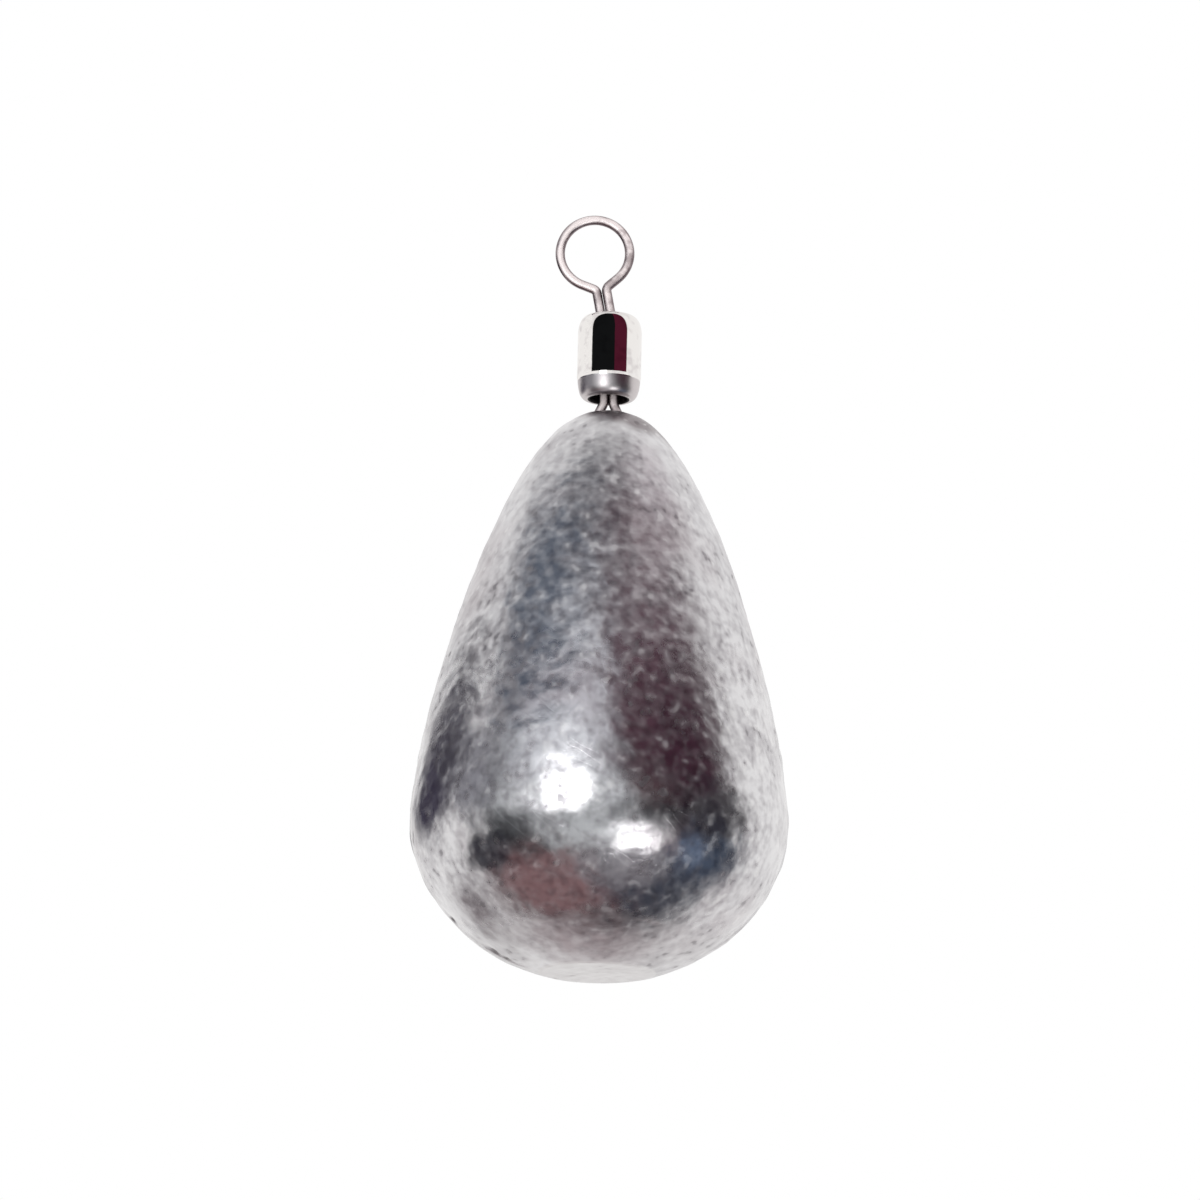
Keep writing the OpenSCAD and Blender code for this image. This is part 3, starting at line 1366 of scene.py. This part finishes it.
@dataclass(frozen=True)
class Surroundings:
    """White for the eye and for plain light; for mirrored rays a white table behind and a dark room in front.

    The table's edge is where the mirrored direction turns away from the camera's side, and it dips away
    below. A true mirror, which only the swivel's barrel is, sees a dark corner of the room and no cards.
    """

    table: Colour = (0.98, 0.97, 0.96)
    room: Colour = (0.014, 0.016, 0.020)
    near_edge: float = -0.42
    far_edge: float = 0.12
    dip: float = 0.75
    patches: tuple[SkyPatch, ...] = (
        SkyPatch(-6, 70, 66, 26, (0.05, 0.042, 0.055)),
        SkyPatch(-55, 46, 32, 16, (0.085, 0.10, 0.135)),
        SkyPatch(40, 42, 34, 20, (0.075, 0.018, 0.038)),
        SkyPatch(45, 12, 30, 14, (0.055, 0.008, 0.016), 0.3),
        SkyPatch(-20, -66, 60, 26, (0.25, 0.145, 0.15), 0.6),
        SkyPatch(60, -58, 40, 22, (0.055, 0.062, 0.085), 0.6),
        SkyPatch(20, -55, 24, 14, (0.26, 0.25, 0.27), 0.6),
    )

    def write(self) -> None:
        """Writes the world's tree."""
        world = bpy.data.worlds.new("studio")
        bpy.context.scene.world = world
        shader = Shader(world)
        way = shader.read("ShaderNodeTexCoord", "Generated")
        down = (0.0 - way.along(Z_AXIS)).larger(0.0)
        back = way.along(Y_AXIS) - down * down * self.dip
        seen: Any = self.room
        for patch in self.patches:
            seen = patch.over(shader, way, seen)
        seen = shader.mix(back.step(self.near_edge, self.far_edge), seen, self.table)
        mirror = shader.read("ShaderNodeLightPath", "Is Singular Ray")
        seen = shader.mix(mirror, seen, DarkCorner().colour(shader, way))
        colour = shader.mix(shader.read("ShaderNodeLightPath", "Is Glossy Ray"), WHITE, seen)
        shader.show(shader.node("ShaderNodeBackground", {}, {"Color": colour, "Strength": 1.0}), "World")


@dataclass(frozen=True)
class Card:
    """A soft-edged oval card, dark as a flag or bright as a reflector, which only mirrored rays see.

    Angles are in degrees, seen from the middle of the lead's widest ring. Width and height are half sizes,
    the distance is in metres, and soft is the share of the card that fades.
    """

    name: str
    azimuth: float
    elevation: float
    distance: float
    width: float
    height: float
    colour: Colour
    soft: float = 0.5
    glow: float = 1.0

    def place(self, lead: LeadCasting) -> None:
        """Stands the card up, square to the middle of the lead's widest ring.

        Args:
            lead: The lead that mirrors it.
        """
        centre, right, up = facing(self.azimuth, self.elevation)
        middle = Vector((0, 0, lead.wide_height)) + centre * self.distance
        half_width = self.distance * math.tan(math.radians(self.width))
        half_height = self.distance * math.tan(math.radians(self.height))
        spread = SQUARE @ np.array([right * half_width, up * half_height])
        card = make_object(self.name, np.array(middle) + spread, [SQUARE_FACE], SQUARE)
        made = bpy.data.materials.new(self.name)
        shader = Shader(made)
        reach = shader.vector("LENGTH", shader.read("ShaderNodeTexCoord", "UV"))
        mirror = shader.read("ShaderNodeLightPath", "Is Singular Ray")
        inside = reach.step(1.0, 1.0 - self.soft) * (1 - mirror)
        paint = shader.node("ShaderNodeEmission", {}, {"Color": self.colour, "Strength": self.glow})
        shader.show(shader.blend(inside, shader.read("ShaderNodeBsdfTransparent"), paint))
        card.data.materials.append(made)
        for ray in ("camera", "diffuse", "transmission", "volume_scatter", "shadow"):
            setattr(card, f"visible_{ray}", False)


@dataclass(frozen=True)
class SoftBox:
    """A soft lamp, placed by the direction in which the lead's front mirrors it.

    Angles are in degrees, lengths in metres, and glow is its brightness, where 1 is white.
    """

    name: str
    azimuth: float
    elevation: float
    distance: float
    width: float
    height: float
    glow: float

    def place(self, lead: LeadCasting) -> None:
        """Hangs the lamp, facing the front of the lead's widest ring.

        Args:
            lead: The lead that it lights.
        """
        way = facing(self.azimuth, self.elevation)[0]
        front = Vector((0, -lead.radius, lead.wide_height))
        data = bpy.data.lights.new(self.name, "AREA")
        data.shape = "RECTANGLE"
        data.size = self.width
        data.size_y = self.height
        data.energy = self.glow * math.pi * self.width * self.height
        lamp = linked(self.name, data)
        lamp.location = front + way * self.distance
        lamp.rotation_mode = "QUATERNION"
        lamp.rotation_quaternion = way.to_track_quat("Z", "Y")
        lamp.visible_camera = False


@dataclass(frozen=True)
class Floor:
    """A pale floor under the sinker, seen only from above, that fades to white away from it, in metres."""

    reach: float = 1.5
    drop: float = 0.02 * MM
    colour: Colour = (0.88, 0.88, 0.88)
    fade_from: float = 0.016
    fade_to: float = 0.052

    def build(self) -> None:
        """Lays the floor."""
        corners = np.insert(SQUARE * self.reach, 2, -self.drop, axis=1)
        floor = make_object("floor", corners, [SQUARE_FACE])
        made = bpy.data.materials.new("floor")
        shader = Shader(made)
        place = shader.read("ShaderNodeTexCoord", "Object")
        away = shader.vector("LENGTH", place).step(self.fade_from, self.fade_to)
        camera = shader.read("ShaderNodeLightPath", "Is Camera Ray")
        paint = shader.node("ShaderNodeBsdfDiffuse", {}, {"Color": self.colour})
        white = shader.node("ShaderNodeEmission", {}, {"Color": WHITE, "Strength": 1.0})
        top = shader.blend(away * camera, paint, white)
        under = shader.read("ShaderNodeNewGeometry", "Backfacing")
        shader.show(shader.blend(under, top, shader.read("ShaderNodeBsdfTransparent")))
        floor.data.materials.append(made)
        floor.visible_glossy = False


@dataclass(frozen=True)
class Studio:
    """The two lamps and the cards round the sinker."""

    lamps: tuple[SoftBox, ...] = (
        SoftBox("key", -23, 6, 0.065, 0.031, 0.033, 2.6),
        SoftBox("fill", 27, -34, 0.09, 0.038, 0.031, 3.0),
    )
    cards: tuple[Card, ...] = (
        Card("key_glow", -27, 27, 0.082, 42, 26, (0.93, 0.95, 1.0), 0.8, 0.82),
        Card("upper_glow", -13, 38, 0.081, 17, 10, (0.93, 0.95, 1.0), 0.9, 0.9),
        Card("key_halo", -22, 4, 0.080, 56, 24, (0.95, 0.98, 1.0), 0.9, 0.95),
        Card("fill_glow", 2, -27, 0.105, 52, 22, (0.95, 0.98, 1.0), 0.9, 0.66),
        Card("blue_reflector", 62, -30, 0.06, 16, 15, (0.20, 0.27, 0.39), 0.9),
        Card("top_left_flag", -34, 60, 0.077, 20, 15, (0.04, 0.045, 0.065)),
        Card("top_right_flag", 12, 51, 0.078, 15, 13, (0.07, 0.03, 0.045)),
        Card("right_flag", 55, 24, 0.07, 30, 20, (0.036, 0.002, 0.016), 0.3),
        Card("right_black_flag", 68, 0, 0.069, 35, 19, (0.018, 0.014, 0.022)),
        Card("low_right_flag", 78, -26, 0.072, 28, 22, (0.048, 0.066, 0.102), 0.4),
        Card("low_left_flag", -79, -27, 0.07, 24, 16, (0.012, 0.013, 0.026), 0.6),
        Card("left_wall", -80, 12, 0.075, 20, 24, (0.27, 0.27, 0.30), 0.6),
        Card("left_high_flag", -57, 46, 0.074, 28, 15, (0.02, 0.045, 0.09), 0.4),
        Card("left_dusk", -95, 50, 0.076, 16, 12, (0.30, 0.30, 0.32), 0.9),
        Card("under_glow", -172, -66, 0.07, 34, 24, (0.46, 0.39, 0.40), 0.8),
        Card("under_left_flag", -130, -35, 0.07, 30, 18, (0.20, 0.165, 0.175), 0.9),
        Card("right_high_flag", 68, 60, 0.075, 30, 15, (0.66, 0.60, 0.62), 0.7),
        Card("left_flag", -118, 11, 0.07, 30, 19, (0.035, 0.028, 0.055)),
        Card("left_upper_flag", -106, 25, 0.069, 21, 12, (0.05, 0.045, 0.065)),
    )

    def light(self, lead: LeadCasting) -> None:
        """Places every lamp and card round the lead."""
        for part in (*self.lamps, *self.cards):
            part.place(lead)


def barrel_plate(barrel: SwivelBarrel) -> NickelPlate:
    """The barrel's bright plate: a true mirror, duller where the lower end was swaged, and painted dark inside
    as painted shade in the bore.

    Args:
        barrel: The barrel that it is on.

    Returns:
        The plate.
    """
    return NickelPlate(
        "nickel_barrel",
        plate=(0.86, 0.845, 0.835),
        dull=(0.62, 0.59, 0.60),
        stretch=(300.0, 2500.0, 1.0),
        swaged=((barrel.low.z + barrel.high.z) / 2, barrel.length / 2 - barrel.swage_height),
        bore_from=barrel.outside_run(),
    )


def wire_plate() -> NickelPlate:
    """The plate on both wires, worn satin, with painted shade on their two sides and more of it towards +X.

    Returns:
        The plate.
    """
    return NickelPlate(
        "nickel_wire",
        plate=(1.0, 0.905, 0.895),
        dull=(0.38, 0.31, 0.315),
        stretch=(500.0, 3000.0, 1.0),
        rough_base=0.24,
        worn=0.8,
        # painted shade on the wires' sides in the plane of the loop
        flank_shade=(0.20, 0.155, 0.165),
        # painted shade: duller and darker towards +X, away from the light
        painted_side_shade=(0.06, 0.0, 0.0),
        relief=0.0006 * MM,
    )


def main() -> None:
    """Builds the sinker, its floor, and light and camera."""
    logging.basicConfig(level=logging.INFO, format="%(name)s: %(message)s")
    bpy.context.scene.view_settings.view_transform = "Standard"
    lead = LeadCasting()
    barrel = SwivelBarrel()
    line_eye = WireEye(
        "line_eye",
        "upper_eye",
        Body.EYE,
        up=1.0,
        loop_diameter=3.7 * MM,
        slope=31.0,
        bend=0.3 * MM,
        reach=4.1 * MM,
        tilt=11.0,
        cross=0.06 * MM,
    )
    root_eye = WireEye(
        "root_eye",
        "lower_eye",
        Body.WEIGHT,
        up=-1.0,
        loop_diameter=3.4 * MM,
        slope=64.0,
        bend=0.5 * MM,
        neck=0.1 * MM,
    )
    made = [lead.build(CastLead()), barrel.build(barrel_plate(barrel))]
    for eye in (line_eye, root_eye):
        made += eye.build(wire_plate())
    Floor().build()
    Surroundings().write()
    Studio().light(lead)
    PhotoCamera().place(lead)


if __name__ == "__main__":
    main()
